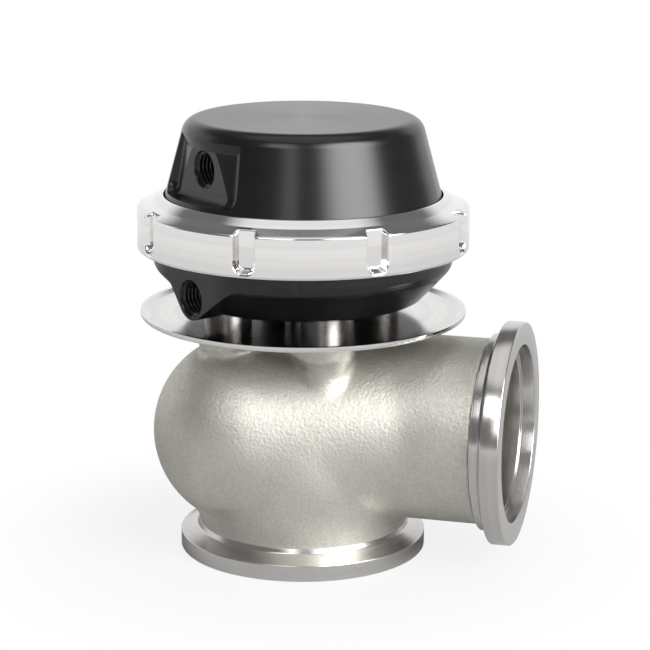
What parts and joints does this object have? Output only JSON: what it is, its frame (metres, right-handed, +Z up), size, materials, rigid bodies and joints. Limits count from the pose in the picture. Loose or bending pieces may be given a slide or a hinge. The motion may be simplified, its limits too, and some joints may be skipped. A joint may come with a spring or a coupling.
{
  "type": "turbo wastegate",
  "caption": "Poppet bypass valve with flanged inlet and side outlet, and a diaphragm actuator on spacers above a heat shield.",
  "frame": {"origin": "centre of the inlet flange's face, on the valve stem's axis", "axes": "+Z up the valve stem, away from the inlet; +X out of the side outlet"},
  "size_m": [0.0856, 0.0728, 0.0971],
  "materials": {
    "cast_stainless": "bead-blasted casting with turned flange faces",
    "machined_stainless": "turned",
    "guide_bronze": "turned",
    "polished_stainless": "mirror polished",
    "spacer_steel": "turned",
    "bolt_steel": "plated",
    "black_anodised": "satin black anodised",
    "polished_aluminium": "bright machined",
    "plain_aluminium": "as turned",
    "spring_steel": "plain",
    "diaphragm_rubber": "reinforced silicone",
    "seal_polymer": "filled fluoropolymer"
  },
  "bodies": {
    "housing": {"valve_body": "cast_stainless", "valve_seat": "machined_stainless", "valve_guide": "guide_bronze", "heat_shield": "polished_stainless", "spacer_1": "spacer_steel", "spacer_2": "spacer_steel", "spacer_3": "spacer_steel", "spacer_4": "spacer_steel", "mounting_bolts": "bolt_steel", "bolt_washers": "bolt_steel", "actuator_body": "black_anodised", "stem_bush": "guide_bronze", "stem_seal": "seal_polymer", "seal_retainer": "bolt_steel", "diaphragm": "diaphragm_rubber", "outer_spring": "spring_steel", "inner_spring": "spring_steel", "cap": "black_anodised", "locking_ring": "polished_aluminium"},
    "valve_stack": {"valve": "machined_stainless", "clamp_plate": "plain_aluminium", "piston": "plain_aluminium", "stem_washer": "bolt_steel", "stem_nut": "bolt_steel"}
  },
  "joints": [
    {"name": "valve_lift", "type": "slide", "parent": "housing", "child": "valve_stack", "axis": [0, 0, 1], "range_m": [0, 0.0095], "stiffness_N_per_m": 6000, "springref_m": -0.008, "deforming": ["outer_spring", "inner_spring", "diaphragm"]}
  ]
}
